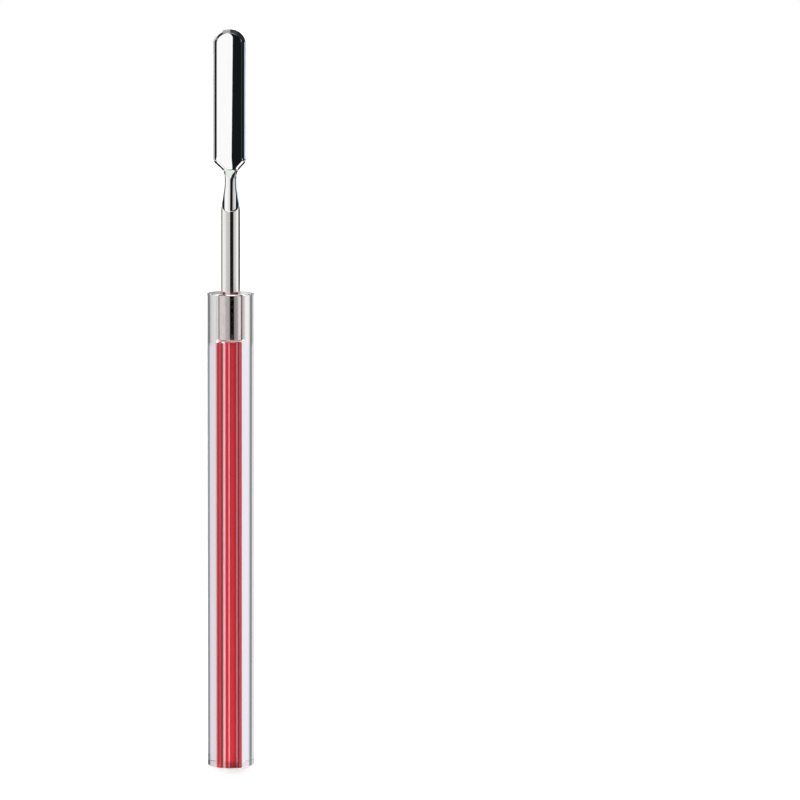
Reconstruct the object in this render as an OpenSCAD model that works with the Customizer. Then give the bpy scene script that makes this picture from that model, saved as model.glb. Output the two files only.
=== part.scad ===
// Cuticle pusher: a polished steel spatula glued into a clear acrylic rod handle with a red core.
// It stands on the handle's foot. +Z runs along the tool to the blade's tip, X is the blade's
// width, and the blade's crowned face looks along -Y.

/* [Handle] */
// Diameter of the clear rod
rod_d = 8; // [7:0.1:10]
// Length of the clear rod
rod_l = 81.5; // [60:0.5:110]
// Edge break round both ends of the rod
rod_edge = 0.2; // [0.1:0.05:0.4]
// Diameter of the red core
core_d = 3; // [2:0.1:3.4]
// Distance of the core's axis from the rod's axis, towards -X
core_shift = 0.2; // [0:0.05:0.4]

/* [Shank] */
// Diameter of the steel shank
shank_d = 3.25; // [3:0.05:3.6]
// Length of shank inside the handle
seat_l = 8; // [5:0.25:15]
// Length of full-diameter shank above the handle
shank_l = 14; // [8:0.5:30]
// Adhesive film between the shank and its seat
glue_gap = 0.05; // [0.03:0.01:0.1]
// Thickness of the adhesive under the shank's end
glue_end = 0.25; // [0.1:0.05:0.5]

/* [Neck] */
// Width of the neck at its narrowest
neck_w = 2.06; // [1.8:0.02:2.4]
// Length of the taper from the shank to the narrowest part of the neck
taper_l = 4.8; // [4.4:0.1:6]
// Radius of the hollow waist on each side of the neck
waist_r = 9; // [6:0.5:12]
// Radius of the fillet between the neck and the blade's shoulders
fillet_r = 2; // [1.6:0.1:2.4]
// Radius of the neck's rounded front
front_r = 1.8; // [1.7:0.05:2]
// Slope of the neck's front, in degrees
front_slope = 8.5; // [7:0.5:9.5]
// Slope of the ground ramp between the neck and the blade's front, in degrees
ramp_slope = 17; // [15:0.5:20]
// Length of the ramp
ramp_l = 1.5; // [1.2:0.1:1.8]
// Length of shank that the flat at the back of the neck runs down
land_run = 1.1; // [0.5:0.1:3]

/* [Blade] */
// Width of the blade
blade_w = 5.52; // [4.8:0.02:6.4]
// Length of the blade from its shoulder corners to its tip
blade_l = 22.3; // [16:0.1:30]
// Thickness through the middle of the blade at its shoulders
blade_t = 1.1; // [0.9:0.05:1.4]
// Thickness lost between the shoulders and the tip
thinning = 0.3; // [0:0.05:0.4]
// Radius of the crowned front face
crown_r = 22; // [16:1:60]
// Width of the ground rim round the front face
rim_w = 0.58; // [0.4:0.02:0.7]
// Height of the upright edge left behind the rim
edge_t = 0.3; // [0.15:0.05:0.4]

/* [Hidden] */
$fn = 96;

overshoot = 1;
arc_steps = 16;

rod_r = rod_d / 2;
shank_r = shank_d / 2;
seat_r = shank_r + glue_gap;
shank_foot_z = rod_l - seat_l;
core_l = shank_foot_z - glue_end;

// Heights along the tool
taper_z = rod_l + shank_l;
waist_z = taper_z + taper_l;
neck_r = neck_w / 2;
blade_r = blade_w / 2;
// The shoulders run at 45 degrees, tangent to the fillet arcs
fillet_rise = fillet_r * sin(45);
fillet_out = fillet_r * (1 - cos(45));
straight_neck = 0.84;
fillet_z = waist_z + straight_neck;
corner_z = fillet_z + fillet_rise + blade_r - neck_r - fillet_out;
tip_mid_z = corner_z + blade_l - blade_r;
// The blade's shoulders start a little way out from the neck's sides
shoulder_start = 0.07;
shoulder_foot_r = neck_r + shoulder_start;
shoulder_foot_z = corner_z - blade_r + shoulder_foot_r;

// Places of the faces across the thickness
// The ramp ends this far above the foot of the shoulders
ramp_end = 0.35;
ramp_z = shoulder_foot_z + ramp_end - ramp_l;
crest_y = -shank_r + (ramp_z - taper_z) * tan(front_slope);
front_y = crest_y + ramp_l * tan(ramp_slope);
back_y = front_y + blade_t;
rim_y = back_y - edge_t;
crown_edge_y = front_y + crown_r - sqrt(pow(crown_r, 2) - pow(blade_r - rim_w, 2));
// The rim's slope is carried on past the crowned front, which cuts it
rim_over = 0.5;
rim_top_y = front_y - rim_over;
rim_top_in = rim_w * (rim_y - rim_top_y) / (rim_y - crown_edge_y);
land_slope = atan((shank_r - back_y) / (shoulder_foot_z - taper_z + land_run));

// Points along a circular arc from angle a0 to angle a1
function arc(cx, cz, r, a0, a1) =
    [for (i = [0:arc_steps]) let (a = a0 + (a1 - a0) * i / arc_steps) [cx + r * cos(a), cz + r * sin(a)]];

// A closed outline, symmetric about the tool's axis, from its right-hand side
function both_sides(right) =
    concat(right, [for (i = [len(right) - 1:-1:0]) [-right[i][0], right[i][1]]]);

// Angle of the straight taper that is tangent to the waist arc
taper_dx = neck_r + waist_r - shank_r;
taper_angle = asin(waist_r / sqrt(taper_dx * taper_dx + taper_l * taper_l)) - atan2(taper_dx, taper_l);

// Right-hand side of the neck, from the shank up into the blade's shoulders
function neck_side() = concat(
    [[shank_r, taper_z - overshoot], [shank_r, taper_z]],
    arc(neck_r + waist_r, waist_z, waist_r, 180 + taper_angle, 180),
    arc(neck_r + fillet_r, fillet_z, fillet_r, 180, 135),
    [[blade_r - rim_w, corner_z - rim_w]]);

// A plate in the XZ plane, from y1 back to y0
module plate(outline, y0, y1) {
    translate([0, y1, 0]) rotate([90, 0, 0]) linear_extrude(y1 - y0) polygon(outline);
}

// Everything behind a plane that passes through (y, z) and leans back by the angle given
module behind(y, z, lean) {
    size = 80;
    translate([0, y, z]) rotate([-lean, 0, 0]) translate([-size / 2, 0, -size / 2]) cube(size);
}

// The same, in front of the plane
module in_front(y, z, lean) {
    mirror([0, 1, 0]) behind(-y, z, lean);
}

// Half of the blade's section, as distances in from its edge and places across its thickness
function rim_section(depth) = [
    [0, back_y], [0, rim_y], [rim_top_in, rim_top_y], [depth, rim_top_y], [depth, back_y]];

// Upright prism with the ground rim along its edge at x = 0, reaching inwards along +X
module rimmed_slab(depth, length) {
    linear_extrude(length) polygon(rim_section(depth));
}

// Spatula blade: flat back, crowned front and a ground rim all round
module blade() {
    reach = blade_l * 2;
    side_l = tip_mid_z - shoulder_foot_z;
    intersection() {
        union() {
            intersection() {
                for_both_sides() translate([-blade_r, 0, shoulder_foot_z])
                    rimmed_slab(blade_w, side_l);
                for_both_sides() translate([-blade_r, 0, corner_z]) rotate([0, -45, 0])
                    translate([0, 0, -reach]) rimmed_slab(reach, reach * 2);
            }
            translate([0, 0, tip_mid_z]) rotate([90, 0, 0]) rotate_extrude()
                polygon([for (p = rim_section(blade_r)) [blade_r - p[0], -p[1]]]);
        }
        translate([0, front_y, corner_z]) rotate([-atan(thinning / blade_l), 0, 0])
            translate([0, crown_r, -blade_l]) cylinder(r = crown_r, h = blade_l * 3, $fn = 180);
    }
}

// The overlap of a shape with its mirror image across the tool's middle
module for_both_sides() {
    intersection() {
        children();
        mirror([1, 0, 0]) children();
    }
}

// Waisted neck: round at the front, hollow at the sides and flat at the back
module neck() {
    neck_h = corner_z - taper_z;
    intersection() {
        plate(both_sides(neck_side()), -shank_r - overshoot, shank_r + overshoot);
        translate([0, 0, taper_z - overshoot]) cylinder(r = shank_r, h = neck_h + overshoot * 2);
        translate([0, -shank_r, taper_z]) rotate([-front_slope, 0, 0])
            translate([0, front_r, -overshoot * 4]) cylinder(r = front_r, h = neck_h + overshoot * 8);
        behind(crest_y, ramp_z, ramp_slope);
        in_front(shank_r, taper_z - land_run, land_slope);
    }
}

// Round shank, with the start of the flat land on its back
module shank() {
    intersection() {
        translate([0, 0, shank_foot_z]) cylinder(r = shank_r, h = taper_z - shank_foot_z);
        in_front(shank_r, taper_z - land_run, land_slope);
    }
}

module steel_pusher() {
    color("lightgray") union() {
        shank();
        neck();
        blade();
    }
}

module clear_handle() {
    color([0.9, 0.9, 0.95, 0.35]) difference() {
        rotate_extrude() polygon([
            [0, 0], [rod_r - rod_edge, 0], [rod_r, rod_edge],
            [rod_r, rod_l - rod_edge], [rod_r - rod_edge, rod_l], [0, rod_l]]);
        translate([0, 0, core_l]) cylinder(r = seat_r, h = seat_l + glue_end + overshoot);
        translate([-core_shift, 0, -overshoot]) cylinder(d = core_d, h = core_l + overshoot * 2);
    }
}

module red_core() {
    color("crimson") translate([-core_shift, 0, 0]) cylinder(d = core_d, h = core_l);
}

// Cup of cured adhesive round and under the shank's foot
module adhesive() {
    color([1, 0.95, 0.85, 0.5]) difference() {
        translate([0, 0, core_l]) cylinder(r = seat_r, h = seat_l + glue_end);
        translate([0, 0, shank_foot_z]) cylinder(r = shank_r, h = seat_l + overshoot);
    }
}

steel_pusher();
clear_handle();
red_core();
adhesive();
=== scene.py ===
"""Cuticle pusher: polished steel spatula, clear acrylic handle, red core and adhesive."""
import math

import bmesh
import bpy
import numpy as np
from mathutils import Matrix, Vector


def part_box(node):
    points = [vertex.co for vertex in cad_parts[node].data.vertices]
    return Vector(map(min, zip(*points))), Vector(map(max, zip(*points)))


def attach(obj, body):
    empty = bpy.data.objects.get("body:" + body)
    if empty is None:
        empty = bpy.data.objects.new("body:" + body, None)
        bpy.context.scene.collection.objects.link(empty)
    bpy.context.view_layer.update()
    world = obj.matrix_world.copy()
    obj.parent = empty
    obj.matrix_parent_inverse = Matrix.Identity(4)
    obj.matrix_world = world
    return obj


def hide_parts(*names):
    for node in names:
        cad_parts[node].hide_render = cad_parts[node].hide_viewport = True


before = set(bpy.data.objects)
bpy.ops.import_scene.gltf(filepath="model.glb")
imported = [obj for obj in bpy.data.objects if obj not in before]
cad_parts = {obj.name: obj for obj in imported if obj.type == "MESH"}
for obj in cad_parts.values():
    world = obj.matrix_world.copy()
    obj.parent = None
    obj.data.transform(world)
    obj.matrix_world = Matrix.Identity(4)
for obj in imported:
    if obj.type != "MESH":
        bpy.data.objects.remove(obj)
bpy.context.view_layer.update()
MM = 0.001


def node_box(name):
    """A CAD node's lowest and highest corners, in millimetres."""
    low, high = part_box(name)
    return np.array(low) / MM, np.array(high) / MM


# ---------------------------------------------------------------- sizes, in millimetres
steel_low, steel_high = node_box("steel_pusher")
handle_low, handle_high = node_box("clear_handle")
core_low, core_high = node_box("red_core")
glue_low, glue_high = node_box("adhesive")

ROD_R = (handle_high[0] - handle_low[0]) / 2
ROD_TOP = handle_high[2]
ROD_EDGE = 0.2
ROD_FOOT_EDGE = 0.05
SHANK_R = 1.625
SHANK_FOOT = steel_low[2]
SHANK_CHAMFER = 0.12
SHANK_TOP = ROD_TOP + 14
CORE_X = (core_low[0] + core_high[0]) / 2
CORE_R = (core_high[0] - core_low[0]) / 2
CORE_TOP = core_high[2]
CORE_EDGE = 0.1
GLUE_R = (glue_high[0] - glue_low[0]) / 2
BOND = 0.01  # how far the steel and the core reach past the bores that hold them

TIP = steel_high[2]
TIP_H = 2.5
BLADE_R = 2.76
BLADE_L = 22.3
CORNER = TIP - BLADE_L
CORNER_R = 0.9
NECK_R = 1.03
WAIST = SHANK_TOP + 4.8
WAIST_R = 9.0
FILLET_R = 2.0
FILLET = CORNER - (BLADE_R - NECK_R) - FILLET_R * (math.sin(math.pi / 4) + math.cos(math.pi / 4) - 1)
SHOULDER_FOOT = CORNER - BLADE_R + NECK_R + 0.07
FRONT_SLOPE = math.tan(math.radians(8.5))
RAMP_SLOPE = math.tan(math.radians(17))
RAMP = SHOULDER_FOOT + 0.35 - 1.5
CREST_Y = -SHANK_R + (RAMP - SHANK_TOP) * FRONT_SLOPE
FRONT_Y = CREST_Y + 1.5 * RAMP_SLOPE
BACK_Y = FRONT_Y + 1.1
LAND_FOOT = SHANK_TOP - 1.1
THINNING = 0.3
CROWN_R = 22.0
CROWN_DRIFT = 0.22
BACK_EDGE = 0.1
RIM_INNER_W, RIM_OUTER_W = 0.4, 0.28
RIM_INNER_SLOPE = math.tan(math.radians(36))
RIM_OUTER_SLOPE = math.tan(math.radians(52))
RIM_GRID = 0.8  # how far in from the edge the mesh follows the rim
RIM_STEPS = (0, 0.02, 0.045, 0.075, 0.1, 0.2, 0.255, 0.28, 0.305, 0.36, 0.5, 0.64, 0.68, 0.72, RIM_GRID)
SHOULDER_RIM_LOSS = 0.6
BLADE_BEND = 0.21
NECK_FRONT_R = 1.8
NECK_ROLL = 0.3
TIP_ROLL, TIP_ROLL_L = 0.055, 1.8


# ---------------------------------------------------------------- small helpers
def smooth_step(low, high, x):
    """0 at low, 1 at high, level at both; low may be the greater of the two."""
    t = np.clip((x - low) / (high - low), 0, 1)
    return t * t * (3 - 2 * t)


def smooth_min(a, b, soft):
    h = np.clip(0.5 + 0.5 * (b - a) / soft, 0, 1)
    return b + (a - b) * h - soft * h * (1 - h)


def smooth_max(a, b, soft):
    return -smooth_min(-a, -b, soft)


def make_piece(name, points, faces, material, node):
    """A smooth mesh object from points in millimetres, which replaces a CAD node."""
    mesh = bpy.data.meshes.new(name)
    mesh.from_pydata([tuple(p) for p in np.asarray(points) * MM], [], faces)
    build = bmesh.new()
    build.from_mesh(mesh)
    bmesh.ops.remove_doubles(build, verts=build.verts, dist=1e-8)
    bmesh.ops.dissolve_degenerate(build, edges=build.edges, dist=1e-9)
    bmesh.ops.recalc_face_normals(build, faces=build.faces)
    build.to_mesh(mesh)
    build.free()
    mesh.shade_smooth()
    mesh.materials.append(material)
    piece = bpy.data.objects.new(name, mesh)
    bpy.context.scene.collection.objects.link(piece)
    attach(piece, "root")
    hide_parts(node)
    return piece


# ---------------------------------------------------------------- steel pusher
def arc(cx, cz, r, start, end, count):
    a = np.radians(np.linspace(start, end, count + 1))
    return np.column_stack([cx + r * np.cos(a), cz + r * np.sin(a)])


def line(x0, z0, x1, z1, count):
    return np.column_stack([np.linspace(x0, x1, count + 1), np.linspace(z0, z1, count + 1)])


def right_outline():
    """Right-hand side of the steel's outline in the XZ plane, from its foot up to the tip."""
    dx, dz = NECK_R + WAIST_R - SHANK_R, WAIST - SHANK_TOP
    taper = math.degrees(math.asin(WAIST_R / math.hypot(dx, dz)) - math.atan2(dx, dz))
    waist = arc(NECK_R + WAIST_R, WAIST, WAIST_R, 180 + taper, 180, 20)
    fillet = arc(NECK_R + FILLET_R, FILLET, FILLET_R, 180, 135, 34)
    round_z = CORNER + CORNER_R * math.tan(math.pi / 8)
    corner = arc(BLADE_R - CORNER_R, round_z, CORNER_R, -45, 0, 14)
    turn = np.linspace(0, np.pi / 2, 61)
    side_top = TIP - TIP_H
    tip = np.column_stack([BLADE_R * np.cos(turn), side_top + TIP_H * np.sin(turn)])
    pieces = [
        line(SHANK_R, SHANK_FOOT + SHANK_CHAMFER, SHANK_R, SHANK_FOOT + SHANK_CHAMFER + 0.04, 2),
        line(SHANK_R, SHANK_FOOT + SHANK_CHAMFER + 0.04, SHANK_R, ROD_TOP, 10),
        line(SHANK_R, ROD_TOP, SHANK_R, LAND_FOOT - 0.5, 14),
        line(SHANK_R, LAND_FOOT - 0.5, SHANK_R, SHANK_TOP, 36),
        line(SHANK_R, SHANK_TOP, *waist[0], 74),
        waist,
        line(*waist[-1], *fillet[0], 20),
        fillet,
        line(*fillet[-1], *corner[0], 26),
        corner,
        line(*corner[-1], BLADE_R, side_top, 70),
        tip,
    ]
    return np.vstack([pieces[0]] + [p[1:] for p in pieces[1:]])


def inward(outline):
    """Unit normals of the outline that point to the steel's middle."""
    along = np.gradient(outline, axis=0)
    along /= np.linalg.norm(along, axis=1)[:, None]
    normals = np.column_stack([-along[:, 1], along[:, 0]])
    normals[-1] = (0, -1)
    return normals


def distance_in(points, outline):
    """Distance of each (x, z) point from the outline's nearest stretch."""
    a, b = outline[:-1], outline[1:]
    ab = b - a
    out = np.empty(len(points))
    for i in range(0, len(points), 400):
        p = np.abs(points[i:i + 400, :1]), points[i:i + 400, 1:]
        p = np.hstack(p)[:, None, :]
        t = np.clip(((p - a) * ab).sum(2) / (ab * ab).sum(1), 0, 1)
        out[i:i + 400] = np.sqrt((((a + t[..., None] * ab) - p) ** 2).sum(2)).min(1)
    return out


def bowl(x, r):
    """Depth of a cylinder of radius r behind its crest, at x."""
    return r - np.sqrt(np.maximum(r ** 2 - x ** 2, 0))


def rolled_edge(d, r):
    """Depth of a rounded edge of radius r behind its face, at a distance d in."""
    return r - np.sqrt(np.maximum(r ** 2 - np.clip(r - d, 0, None) ** 2, 0))


def steel_faces(x, z, d):
    """Front and back of the steel, as places along Y over points (x, z) at a distance d in."""
    blade = smooth_step(SHOULDER_FOOT - 0.7, SHOULDER_FOOT + 0.6, z)
    roll = rolled_edge(d, 0.001 + NECK_ROLL * smooth_step(SHANK_TOP, WAIST - 1, z))
    flatter = NECK_FRONT_R + 1.6 * smooth_step(WAIST + 0.5, SHOULDER_FOOT + 0.3, z)
    neck_crest = -SHANK_R + (z - SHANK_TOP) * FRONT_SLOPE + bowl(x, flatter)
    shank = SHANK_R - bowl(x, SHANK_R)
    neck_front = np.where(z < SHANK_TOP - 1, -shank, smooth_max(-shank, neck_crest, 0.03)) + roll

    up = np.clip((z - CORNER) / BLADE_L, -0.3, 1)
    tip_roll = TIP_ROLL * np.clip((z - TIP + TIP_ROLL_L) / TIP_ROLL_L, 0, 1) ** 2
    face = FRONT_Y + bowl(x - CROWN_DRIFT * up, CROWN_R) + THINNING * up + tip_roll
    inner_w = RIM_INNER_W * (1 - SHOULDER_RIM_LOSS * smooth_step(CORNER + 0.9, CORNER - 0.3, z))
    inner = (inner_w + RIM_OUTER_W - d) * RIM_INNER_SLOPE
    outer = inner_w * RIM_INNER_SLOPE + (RIM_OUTER_W - d) * RIM_OUTER_SLOPE
    rim = smooth_max(smooth_max(inner, outer, 0.015), np.zeros_like(d), 0.008)
    ramp = CREST_Y + (z - RAMP) * RAMP_SLOPE
    top = np.where(z < CORNER, smooth_min(ramp, face, 0.03), face)
    side = (1 - blade) * neck_front + blade * (top + rim)
    cut = smooth_max(side, top, 0.01 + 0.13 * smooth_step(0, 0.4, x) * (1 - blade))
    front = np.where(z < RAMP - 1, neck_front, cut)

    land_slope = (SHANK_R - BACK_Y) / (SHOULDER_FOOT - LAND_FOOT)
    land = np.maximum(SHANK_R - (z - LAND_FOOT) * land_slope, BACK_Y)
    neck_back = np.where(z < LAND_FOOT - 0.4, shank, smooth_min(shank, land, 0.04)) - roll
    back = (1 - blade) * neck_back + blade * (BACK_Y - rolled_edge(d, BACK_EDGE))
    return np.minimum(front, back), back


def steel_mesh(material):
    outline = right_outline()
    normals = inward(outline)
    z = outline[:, 1]
    rows = len(outline)
    # Distances in from the edge: even steps of angle on the round shank, crowded at the rim's
    # two corners on the blade
    last = math.degrees(math.asin(1 - RIM_GRID / SHANK_R))
    round_in = SHANK_R * (1 - np.sin(np.radians(np.linspace(90, last, len(RIM_STEPS)))))
    blade_in = np.array(RIM_STEPS)
    share = smooth_step(WAIST, SHOULDER_FOOT, z)[:, None]
    steps = round_in * (1 - share) + blade_in * share
    across = 44
    ring_x = outline[:, :1] + steps * normals[:, :1]
    ring_z = outline[:, 1:] + steps * normals[:, 1:]
    inner_x, inner_z = ring_x[:, -1:], ring_z[:, -1:]
    u = np.linspace(1, -1, across + 1)[None, 1:-1]
    x = np.hstack([ring_x, inner_x * u, -ring_x[:, ::-1]])
    zz = np.hstack([ring_z, np.repeat(inner_z, across - 1, 1), ring_z[:, ::-1]])
    middle_z = np.repeat(inner_z, across - 1, 1)
    inside = distance_in(np.column_stack([(inner_x * u).ravel(), middle_z.ravel()]), outline)
    d = np.hstack([steps, inside.reshape(rows, -1), steps[:, ::-1]])
    front, back = steel_faces(x, zz, d)

    columns = x.shape[1]
    bent = x - BLADE_BEND * smooth_step(SHOULDER_FOOT - 0.3, CORNER + 1, zz)
    points = [np.column_stack([bent.ravel(), y.ravel(), zz.ravel()]) for y in (front, back)]
    # The foot: a small chamfer, then a flat end
    foot_scale = (SHANK_R - SHANK_CHAMFER) / SHANK_R
    foot_z = np.full(columns, SHANK_FOOT)
    for y in (front, back):
        points.append(np.column_stack([x[0] * foot_scale, y[0] * foot_scale, foot_z]))
    points = np.vstack(points)
    grid = rows * columns
    faces = []
    for side in (0, grid):
        for i in range(rows - 1):
            a = side + i * columns
            faces += [(a + j, a + j + 1, a + columns + j + 1, a + columns + j) for j in range(columns - 1)]
    # The upright edge between the front's rim and the back, from the foot round the tip
    for j in (0, columns - 1):
        for i in range(rows - 1):
            a, b = i * columns + j, (i + 1) * columns + j
            faces.append((a, b, grid + b, grid + a))
    for side in (0, 1):
        top, foot = side * grid, 2 * grid + side * columns
        faces += [(top + j, top + j + 1, foot + j + 1, foot + j) for j in range(columns - 1)]
    f, b = 2 * grid, 2 * grid + columns
    faces += [(f + j, f + j + 1, b + j + 1, b + j) for j in range(columns - 1)]
    return make_piece("steel_spatula", points, faces, material, "steel_pusher")


# ---------------------------------------------------------------- turned pieces
def turned(rings, segments, cap_start=True, cap_end=True):
    """A skin through rings of (centre x, radius, height), closed by flat caps."""
    a = np.linspace(0, 2 * np.pi, segments, endpoint=False)
    points = np.vstack([
        np.column_stack([cx + r * np.cos(a), r * np.sin(a), np.full(segments, z)]) for cx, r, z in rings])
    faces = []
    for i in range(len(rings) - 1):
        s = i * segments
        for j in range(segments):
            k = (j + 1) % segments
            faces.append((s + j, s + k, s + segments + k, s + segments + j))
    if cap_start:
        faces.append(tuple(range(segments))[::-1])
    if cap_end:
        faces.append(tuple(range((len(rings) - 1) * segments, len(rings) * segments)))
    return points, faces


def rounded(cx, r, z, edge, start, end, count=5):
    """Rings round a turned edge whose arc has its centre at radius r and height z."""
    angles = np.radians(np.linspace(start, end, count + 1))
    return [(cx, r + edge * math.cos(a), z + edge * math.sin(a)) for a in angles]


def handle_mesh(material):
    rim_r = SHANK_R - BOND
    bore_r = CORE_R - BOND
    rings = [(CORE_X, bore_r, z) for z in (CORE_TOP - BOND, CORE_TOP - 1, 1, 0)]
    rings += [(CORE_X, bore_r + 0.02, 0), (0, ROD_R - ROD_FOOT_EDGE - 0.02, 0)]
    rings += rounded(0, ROD_R - ROD_FOOT_EDGE, ROD_FOOT_EDGE, ROD_FOOT_EDGE, -90, 0)
    rings += [(0, ROD_R, ROD_FOOT_EDGE + 0.02)] + [(0, ROD_R, z) for z in np.linspace(1, ROD_TOP - 1, 30)]
    rings += [(0, ROD_R, ROD_TOP - ROD_EDGE - 0.02)]
    rings += rounded(0, ROD_R - ROD_EDGE, ROD_TOP - ROD_EDGE, ROD_EDGE, 0, 90)
    rings += [(0, ROD_R - ROD_EDGE - 0.02, ROD_TOP), (0, rim_r + 0.02, ROD_TOP), (0, rim_r, ROD_TOP)]
    rings += [(0, rim_r, ROD_TOP - 0.5), (0, rim_r, SHANK_FOOT + BOND)]
    points, faces = turned(rings, 256)
    return make_piece("acrylic_handle", points, faces, material, "clear_handle")


def core_mesh(material):
    rings = [(CORE_X, CORE_R - 0.02, 0), (CORE_X, CORE_R, 0), (CORE_X, CORE_R, 0.02)]
    rings += [(CORE_X, CORE_R, z) for z in np.linspace(1, CORE_TOP - 1, 30)]
    rings += [(CORE_X, CORE_R, CORE_TOP - CORE_EDGE - 0.03)]
    rings += rounded(CORE_X, CORE_R - CORE_EDGE, CORE_TOP - CORE_EDGE, CORE_EDGE, 0, 90)
    rings += [(CORE_X, CORE_R - CORE_EDGE - 0.02, CORE_TOP)]
    points, faces = turned(rings, 192)
    return make_piece("core_rod", points, faces, material, "red_core")


def glue_mesh(material):
    """Thin cup of cured adhesive round and under the shank's foot, with a fillet on top."""
    inner, top = SHANK_R + 0.005, ROD_TOP + 0.1
    rings = [(0, 0.3, CORE_TOP + 0.02), (0, GLUE_R - 0.02, CORE_TOP + 0.02), (0, GLUE_R, CORE_TOP + 0.06)]
    rings += [(0, GLUE_R, ROD_TOP), (0, GLUE_R + 0.2, ROD_TOP + 0.01), (0, GLUE_R + 0.06, ROD_TOP + 0.04)]
    rings += [(0, inner, top), (0, inner, SHANK_FOOT - 0.01), (0, 0.3, SHANK_FOOT - 0.01)]
    points, faces = turned(rings, 128)
    return make_piece("adhesive_cup", points, faces, material, "adhesive")


# ---------------------------------------------------------------- materials
def new_material(name):
    material = bpy.data.materials.new(name)
    material.use_nodes = True
    tree = material.node_tree
    return material, tree, tree.nodes["Principled BSDF"], tree.nodes["Material Output"]


def add(tree, kind, **values):
    node = tree.nodes.new(kind)
    for key, value in values.items():
        if hasattr(node, key):
            setattr(node, key, value)
        else:
            node.inputs[key.replace("_", " ").title()].default_value = value
    return node


def connect(tree, value, socket):
    """Link another node's output to the socket, or set the socket's own value."""
    if hasattr(value, "links"):
        tree.links.new(value, socket)
    else:
        socket.default_value = value


def math_node(tree, operation, a, b=0.0):
    node = add(tree, "ShaderNodeMath", operation=operation)
    connect(tree, a, node.inputs[0])
    connect(tree, b, node.inputs[1])
    return node.outputs[0]


def mixed(tree, share, a, b, data_type="RGBA"):
    node = add(tree, "ShaderNodeMix", data_type=data_type)
    for key, value in (("Factor", share), ("A", a), ("B", b)):
        connect(tree, value, node.inputs[key])
    return node.outputs["Result"]


def step_up(tree, value, low, high, top=1.0):
    """0 at low and top at high, level at both; low may be the greater of the two."""
    node = add(tree, "ShaderNodeMapRange", interpolation_type="SMOOTHSTEP")
    for key, end in (("From Min", low), ("From Max", high), ("To Max", top)):
        node.inputs[key].default_value = end
    tree.links.new(value, node.inputs["Value"])
    return node.outputs["Result"]


def ranged(tree, source, low, high, from_low=0.3, from_high=0.7):
    node = tree.nodes.new("ShaderNodeMapRange")
    for key, value in (("From Min", from_low), ("From Max", from_high), ("To Min", low), ("To Max", high)):
        node.inputs[key].default_value = value
    tree.links.new(source, node.inputs["Value"])
    return node.outputs["Result"]


def split_place(tree, coordinates):
    """X, Y and Z of the place, or of the direction, at hand."""
    split = tree.nodes.new("ShaderNodeSeparateXYZ")
    tree.links.new(tree.nodes.new("ShaderNodeTexCoord").outputs[coordinates], split.inputs[0])
    return split.outputs


def stretched_noise(tree, scale, detail=3.0):
    """Noise over the piece's own metres, stretched by a scale along each axis."""
    place = tree.nodes.new("ShaderNodeTexCoord")
    mapping = add(tree, "ShaderNodeMapping", Scale=scale)
    tree.links.new(place.outputs["Object"], mapping.inputs["Vector"])
    noise = add(tree, "ShaderNodeTexNoise", Scale=1.0, Detail=detail)
    tree.links.new(mapping.outputs[0], noise.inputs["Vector"])
    return noise.outputs["Fac"]


def bumped(tree, source, shader, strength, distance):
    bump = tree.nodes.new("ShaderNodeBump")
    bump.inputs["Strength"].default_value = strength
    bump.inputs["Distance"].default_value = distance
    tree.links.new(source, bump.inputs["Height"])
    tree.links.new(bump.outputs[0], shader.inputs["Normal"])


def steel_material():
    """Stainless steel: a mirror all over, apart from the finely polished length of exposed shank."""
    material, tree, shader, _ = new_material("polished_steel")
    shader.inputs["Metallic"].default_value = 1.0
    polish = stretched_noise(tree, (9000, 9000, 260), 4.0)
    satin = ranged(tree, polish, 0.03, 0.06)
    mirror = ranged(tree, polish, 0.008, 0.02)
    height = split_place(tree, "Object")["Z"]
    above_rod = ranged(tree, height, 0, 1, ROD_TOP * MM, (ROD_TOP + 0.2) * MM)
    below_neck = ranged(tree, height, 1, 0, (SHANK_TOP - 1) * MM, (SHANK_TOP + 2) * MM)
    exposed = math_node(tree, "MULTIPLY", above_rod, below_neck)
    tree.links.new(mixed(tree, exposed, mirror, satin, "FLOAT"), shader.inputs["Roughness"])
    cloud = stretched_noise(tree, (500, 500, 120), 2.0)
    tint = mixed(tree, cloud, (0.86, 0.855, 0.85, 1), (0.91, 0.91, 0.91, 1))
    tree.links.new(tint, shader.inputs["Base Color"])
    bumped(tree, polish, shader, 0.008, 0.00001)
    return material


def acrylic_material():
    """Clear rod with the faint draw lines of its making."""
    material, tree, shader, _ = new_material("clear_acrylic")
    shader.inputs["Base Color"].default_value = (0.985, 0.985, 1.0, 1)
    shader.inputs["Transmission Weight"].default_value = 1.0
    shader.inputs["IOR"].default_value = 1.49
    draw = stretched_noise(tree, (900, 900, 12), 2.0)
    tree.links.new(ranged(tree, draw, 0.0, 0.012), shader.inputs["Roughness"])
    bumped(tree, draw, shader, 0.04, 0.00002)
    return material


# Painted highlights along the core: pale streaks that stand in for the bright panels it mirrors: (angle
# round it from the front, half width, strength)
PAINTED_HIGHLIGHTS = [
    (-84, 10, 0.55), (-49, 8, 0.18), (-24, 9, 1.0), (2.5, 5, 0.6), (45.5, 4.5, 0.85), (66, 6, 0.25),
    (89, 7, 0.5)]
# Painted dark reflections: bands of deeper red between them that stand in for the dark gaps the core
# mirrors, likewise
PAINTED_DARK_BANDS = [
    (-66, 9, 0.7), (-36, 7, 0.9), (-9, 7, 0.9), (10, 4, 0.8), (31, 6, 0.7), (53, 5, 0.7),
    (76, 6, 0.5)]
PAINTED_BAND_CORE = 0.3  # the share of a painted band's half width that has its full strength


def angle_away(tree, angle, at):
    """Degrees between an angle and a fixed one, the short way round."""
    turns = math_node(tree, "ADD", math_node(tree, "DIVIDE", angle, 360.0), 2.5 - at / 360)
    off = math_node(tree, "SUBTRACT", math_node(tree, "FRACT", turns), 0.5)
    return math_node(tree, "ABSOLUTE", math_node(tree, "MULTIPLY", off, 360.0))


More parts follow.
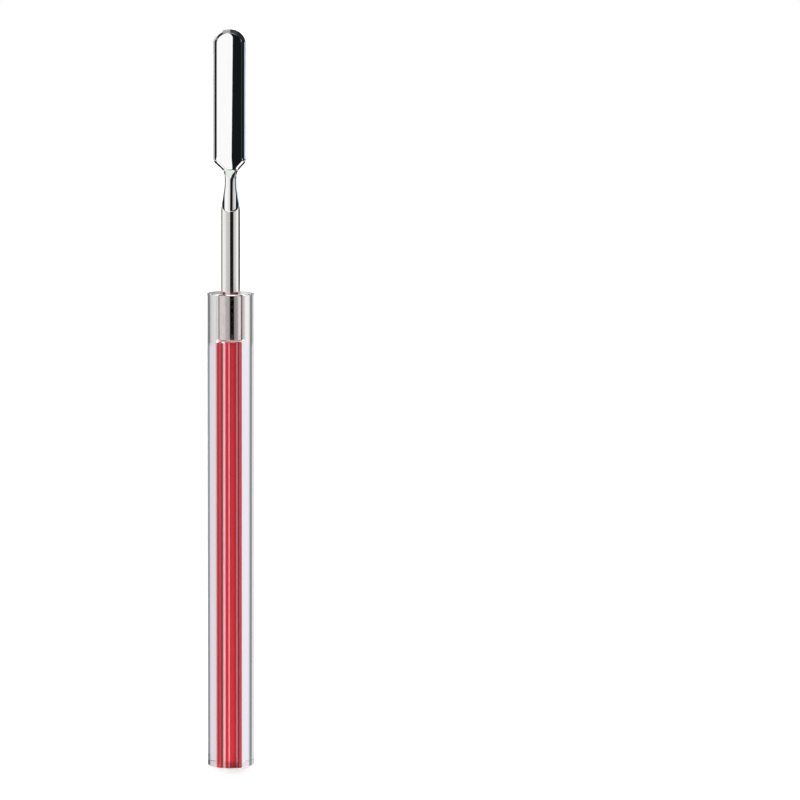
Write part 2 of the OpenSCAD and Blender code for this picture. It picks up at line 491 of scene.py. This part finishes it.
def painted_reflection_bands(tree, angle, entries):
    """Strength of soft-edged lengthwise bands of painted reflection, on the front and again on the back."""
    total = 0.0
    for at, half, strength in entries:
        for turned_by in (0, 180):
            away = angle_away(tree, angle, at + turned_by)
            painted_band = step_up(tree, away, half, half * PAINTED_BAND_CORE, strength)
            total = math_node(tree, "MAXIMUM", total, painted_band)
    return total


def core_material():
    """Red plastic with lengthwise painted reflections: pale streaks are painted highlights, deeper red
    bands are painted dark reflections.
    """
    material, tree, shader, _ = new_material("red_with_painted_reflections")
    shader.inputs["Metallic"].default_value = 0.75
    shader.inputs["Roughness"].default_value = 0.32
    shader.inputs["Specular IOR Level"].default_value = 0.3
    place = split_place(tree, "Object")
    across = math_node(tree, "SUBTRACT", place["X"], CORE_X * MM)
    forward = math_node(tree, "MULTIPLY", place["Y"], -1.0)
    angle = math_node(tree, "MULTIPLY", math_node(tree, "ARCTAN2", across, forward), 180 / math.pi)
    # Painted dark reflections: deeper red bands stand in for the dark gaps mirrored in the core
    red = mixed(tree, painted_reflection_bands(tree, angle, PAINTED_DARK_BANDS), (1.0, 0.012, 0.03, 1), (0.78, 0.003, 0.012, 1))
    # Painted highlights: pale streaks stand in for the bright panels mirrored in the core
    with_painted_highlights = mixed(tree, painted_reflection_bands(tree, angle, PAINTED_HIGHLIGHTS), red, (1.0, 0.8, 0.88, 1))
    tree.links.new(with_painted_highlights, shader.inputs["Base Color"])
    return material


def glue_material():
    """Clear film in optical contact with the acrylic: it bends nothing and adds a faint haze."""
    material, tree, shader, output = new_material("cured_adhesive")
    shader.inputs["Base Color"].default_value = (0.75, 0.6, 0.58, 1)
    shader.inputs["Roughness"].default_value = 0.15
    clear = tree.nodes.new("ShaderNodeBsdfTransparent")
    clear.inputs["Color"].default_value = (0.97, 0.955, 0.95, 1)
    haze = stretched_noise(tree, (1800, 1800, 1800), 3.0)
    share = ranged(tree, haze, 0.0, 0.04, 0.35, 0.75)
    mix = tree.nodes.new("ShaderNodeMixShader")
    tree.links.new(share, mix.inputs[0])
    tree.links.new(clear.outputs[0], mix.inputs[1])
    tree.links.new(shader.outputs[0], mix.inputs[2])
    tree.links.new(mix.outputs[0], output.inputs["Surface"])
    return material


# ---------------------------------------------------------------- camera, floor and studio
CAMERA_X, CAMERA_DISTANCE, CAMERA_TILT, CAMERA_ROLL = 28.83, 591.0, 7.3, 0.33
CAMERA_Z = 63.33 + CAMERA_DISTANCE * math.tan(math.radians(CAMERA_TILT))
CAMERA_AZIMUTH = math.degrees(math.atan2(CAMERA_X, CAMERA_DISTANCE))


def make_camera():
    data = bpy.data.cameras.new("camera")
    data.sensor_width, data.lens = 36, 157.5
    data.clip_start, data.clip_end = 0.01, 100
    camera = bpy.data.objects.new("camera", data)
    bpy.context.scene.collection.objects.link(camera)
    camera.location = (CAMERA_X * MM, -CAMERA_DISTANCE * MM, CAMERA_Z * MM)
    level = Matrix.Rotation(math.radians(90 - CAMERA_TILT), 3, "X")
    camera.rotation_euler = (level @ Matrix.Rotation(math.radians(CAMERA_ROLL), 3, "Z")).to_euler()
    bpy.context.scene.camera = camera


TABLE_GLOW = 0.45  # the white table is lit from below


def make_floor():
    points, faces = turned([(0, 6000, 0)], 96, cap_start=False)
    mesh = bpy.data.meshes.new("floor")
    mesh.from_pydata([tuple(p) for p in points * MM], [], faces)
    floor = bpy.data.objects.new("floor", mesh)
    bpy.context.scene.collection.objects.link(floor)
    material, tree, shader, _ = new_material("pale_floor")
    shader.inputs["Base Color"].default_value = (0.93, 0.93, 0.93, 1)
    shader.inputs["Roughness"].default_value = 0.9
    shader.inputs["Emission Color"].default_value = (1, 1, 1, 1)
    shader.inputs["Emission Strength"].default_value = TABLE_GLOW
    mesh.materials.append(material)
    floor.visible_glossy = False
    floor.visible_transmission = False


# The studio is one dome of light, which is the same for every surface. Each table is a band of it, named
# after what mirrors it, as (azimuth in degrees from the camera's place, radiance). Between two entries
# the light changes evenly, and two entries close together are the edge of a panel or a flag.
TOP = [(-180, 0.5), (-8, 0.4), (2, 0.06), (172, 0.05), (180, 0.1)]
SKY = [
    (-180, 7.0), (-142, 7.0), (-136, 1.4), (-96, 0.9), (-90, 0.05), (-26, 0.04), (-22, 0.3),
    (22, 0.3), (26, 0.02), (138, 0.03), (144, 7.0), (180, 7.0)]
EDGE = [
    (-180, 1.08), (-96, 0.8), (-90, 0.2), (-30, 0.6), (-6, 1.0), (-3, 0.02), (150, 0.03),
    (160, 0.7), (180, 1.08)]
NECK = [
    (-180, 0.8), (-141, 0.8), (-136, 0.25), (-126, 0.25), (-122, 0.8), (-110, 0.62), (-104, 0.02),
    (-72, 0.02), (-67, 1.08), (-26, 1.0), (-22, 0.75), (-16, 0.75), (-12, 0.95), (-8, 1.1),
    (-7, 0.006), (20, 0.01), (25, 0.62), (46, 0.7), (50, 1.08), (55, 1.08), (58, 0.012),
    (121, 0.012), (128, 0.6), (180, 0.8)]
BLADE_LIGHT = [
    (-180, 0.6), (-160, 0.66), (-110, 0.62), (-104, 0.02), (-72, 0.02), (-67, 1.08), (180, 1.1)]
BLADE_FLAG = [
    (-180, 0.007), (4, 0.01), (24, 0.03), (28, 0.12), (55, 0.12), (58, 0.012), (98, 0.012),
    (104, 0.75), (140, 0.85), (180, 0.6)]
BLADE_EDGE = -3.6
SHANK = [
    (-180, 0.9), (-172, 0.9), (-168, 0.1), (-160, 0.12), (-154, 0.3), (-126, 0.3), (-116, 0.6),
    (-100, 1.05), (-60, 0.85), (-52, 0.64), (-12, 0.6), (-7.5, 0.56), (-6, 0.005), (30, 0.01),
    (36, 0.4), (46, 0.68), (66, 0.72), (76, 1.0), (98, 1.15), (108, 0.3), (120, 0.1), (168, 0.08),
    (172, 0.9), (180, 0.9)]
SEAT = [
    (-180, 0.9), (-143, 0.88), (-139, 0.7), (-136, 0.24), (-122, 0.16), (-119, 0.86), (-56, 0.84),
    (-48, 0.58), (-12, 0.5), (-8, 0.4), (-6.5, 0.0), (32, 0.0), (36, 0.34), (70, 0.46), (76, 0.86),
    (90, 1.0), (106, 1.0), (111, 0.1), (124, 0.12), (129, 0.4), (138, 0.66), (150, 0.74),
    (180, 0.74)]
ROD = [
    (-180, 0.9), (-143, 0.88), (-139, 0.7), (-136, 0.24), (-125, 0.24), (-122, 0.9), (-100, 0.7),
    (-45, 0.6), (100, 0.5), (110, 0.15), (121, 0.15), (127, 0.5), (131, 0.74), (180, 0.74)]
TABLE = [
    (-180, 2.0), (-150, 2.0), (-145, 0.03), (-56, 0.03), (-48, 2.0), (50, 2.0), (56, 1.1),
    (86, 1.1), (91, 0.02), (145, 0.02), (150, 2.0), (180, 2.0)]
BRIGHTEST = 7.0


EDGE_LEAN = 4.0  # degrees that the blade band's shared edge leans
NEUTRAL, WARM, FAINT_WARM, COOL = (1, 1, 1), (1, 0.985, 0.95), (1, 0.99, 0.98), (0.99, 0.98, 1.04)
BLUE_BLACK, PALE_GREEN, WHITE = (0.85, 1.0, 1.2), (0.84, 0.93, 0.9, 1), (1, 1, 1, 1)


def panels(tree, turn, entries, tint):
    """A table's light round the whole circle."""
    node = tree.nodes.new("ShaderNodeValToRGB")
    stops = node.color_ramp.elements
    stops.remove(stops[-1])
    for i, (at, light) in enumerate(entries):
        position = (at + 180) / 360
        stop = stops[0] if i == 0 else stops.new(position)
        stop.position = position
        stop.color = (*[min(light * c / BRIGHTEST, 1) for c in tint], 1)
    tree.links.new(turn, node.inputs[0])
    scale = add(tree, "ShaderNodeVectorMath", operation="SCALE")
    scale.inputs["Scale"].default_value = BRIGHTEST
    tree.links.new(node.outputs["Color"], scale.inputs[0])
    return scale.outputs[0]


def directions(tree):
    """Azimuth from the camera's place and elevation of a direction, in degrees."""
    split = split_place(tree, "Generated")
    forward = math_node(tree, "MULTIPLY", split["Y"], -1.0)
    azimuth = math_node(tree, "MULTIPLY", math_node(tree, "ARCTAN2", split["X"], forward), 180 / math.pi)
    elevation = math_node(tree, "MULTIPLY", math_node(tree, "ARCSINE", split["Z"]), 180 / math.pi)
    return math_node(tree, "SUBTRACT", azimuth, CAMERA_AZIMUTH), elevation


def blade_band(tree, azimuth, elevation, turn):
    """A white panel and a black flag, whose shared edge leans where it rises."""
    near_front = step_up(tree, math_node(tree, "ABSOLUTE", azimuth), 45, 30)
    rising = math_node(tree, "MULTIPLY", step_up(tree, elevation, 1.5, 6), near_front)
    leaning = math_node(tree, "ADD", azimuth, math_node(tree, "MULTIPLY", rising, EDGE_LEAN))
    past_edge = step_up(tree, leaning, BLADE_EDGE, BLADE_EDGE + 0.1)
    flag = panels(tree, turn, BLADE_FLAG, BLUE_BLACK)
    return mixed(tree, past_edge, panels(tree, turn, BLADE_LIGHT, NEUTRAL), flag)


def dome_light(tree):
    """The studio's light in a direction, band above band, and a pale green patch high in front."""
    azimuth, elevation = directions(tree)
    turn = math_node(tree, "FRACT", math_node(tree, "ADD", math_node(tree, "DIVIDE", azimuth, 360.0), 1.5))
    light = panels(tree, turn, ROD, COOL)
    # Each band takes over between two elevations
    bands = (
        (-15, -19, panels(tree, turn, TABLE, NEUTRAL)),
        (-6.45, -6.35, panels(tree, turn, SEAT, FAINT_WARM)),
        (-5.6, -5.5, panels(tree, turn, SHANK, WARM)),
        (-3.9, -3.4, blade_band(tree, azimuth, elevation, turn)),
        (6, 8, panels(tree, turn, NECK, NEUTRAL)),
        (15, 17, panels(tree, turn, EDGE, NEUTRAL)),
        (27, 29, panels(tree, turn, SKY, NEUTRAL)),
        (52, 62, panels(tree, turn, TOP, NEUTRAL)),
    )
    for start, full, band in bands:
        light = mixed(tree, step_up(tree, elevation, start, full), light, band)
    in_front = step_up(tree, math_node(tree, "ABSOLUTE", azimuth), 24, 22)
    raised = math_node(tree, "MULTIPLY", step_up(tree, elevation, 27, 29), step_up(tree, elevation, 60, 50))
    return mixed(tree, math_node(tree, "MULTIPLY", in_front, raised), light, PALE_GREEN)


def make_world():
    """The dome, with plain white in its place where the camera sees it directly."""
    world = bpy.data.worlds.new("studio")
    bpy.context.scene.world = world
    world.use_nodes = True
    tree = world.node_tree
    tree.nodes.clear()
    seen = tree.nodes.new("ShaderNodeLightPath").outputs["Is Camera Ray"]
    background = tree.nodes.new("ShaderNodeBackground")
    output = tree.nodes.new("ShaderNodeOutputWorld")
    tree.links.new(mixed(tree, seen, dome_light(tree), WHITE), background.inputs["Color"])
    tree.links.new(background.outputs[0], output.inputs["Surface"])


def render_settings():
    scene = bpy.context.scene
    scene.view_settings.view_transform = "Standard"
    scene.cycles.max_bounces = 24
    scene.cycles.glossy_bounces = 12
    scene.cycles.transmission_bounces = 24
    scene.cycles.transparent_max_bounces = 32


# ---------------------------------------------------------------- the build
make_camera()
make_floor()
make_world()
render_settings()
steel_mesh(steel_material())
handle_mesh(acrylic_material())
core_mesh(core_material())
glue_mesh(glue_material())
